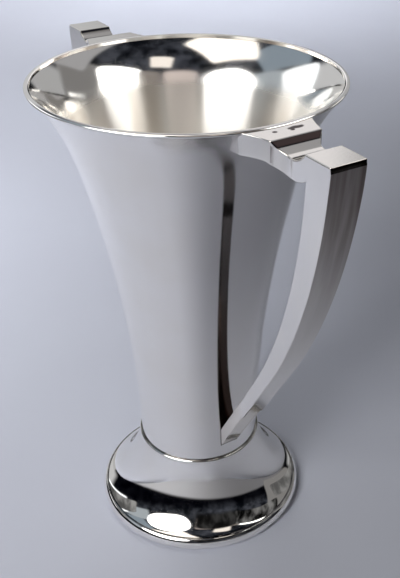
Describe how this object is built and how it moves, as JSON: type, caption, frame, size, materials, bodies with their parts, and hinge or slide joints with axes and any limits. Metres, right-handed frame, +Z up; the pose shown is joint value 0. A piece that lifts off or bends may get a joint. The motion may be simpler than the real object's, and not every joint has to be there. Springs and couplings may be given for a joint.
{
  "type": "two-handled cup",
  "caption": "Tall trumpet-shaped polished silver cup on a flared foot, with a rounded lip wire and opposed hollow angular handles, for presentation or display.",
  "frame": {"origin": "centre of the underside of the base ring, on the cup's axis", "axes": "+Z up along the cup's axis; +X towards the front handle, -X towards the rear handle; +Y across the handles"},
  "size_m": [0.2384, 0.1502, 0.254],
  "materials": {
    "body_silver": "mirror-polished silver",
    "foot_silver": "mirror-polished silver",
    "wire_silver": "mirror-polished silver",
    "handle_silver": "polished silver with fine wipe marks and a little tarnish"
  },
  "bodies": {
    "root": {"body_shell": "body_silver", "bowl_floor": "body_silver", "lip_wire": "wire_silver", "neck_collar": "wire_silver", "foot_shell": "foot_silver", "base_ring": "wire_silver", "front_left_cheek": "handle_silver", "front_right_cheek": "handle_silver", "front_top_plate": "handle_silver", "front_outer_plate": "handle_silver", "front_toe_plate": "handle_silver", "front_under_plate": "handle_silver", "front_inner_plate": "handle_silver", "rear_left_cheek": "handle_silver", "rear_right_cheek": "handle_silver", "rear_top_plate": "handle_silver", "rear_outer_plate": "handle_silver", "rear_toe_plate": "handle_silver", "rear_under_plate": "handle_silver", "rear_inner_plate": "handle_silver"}
  },
  "joints": []
}
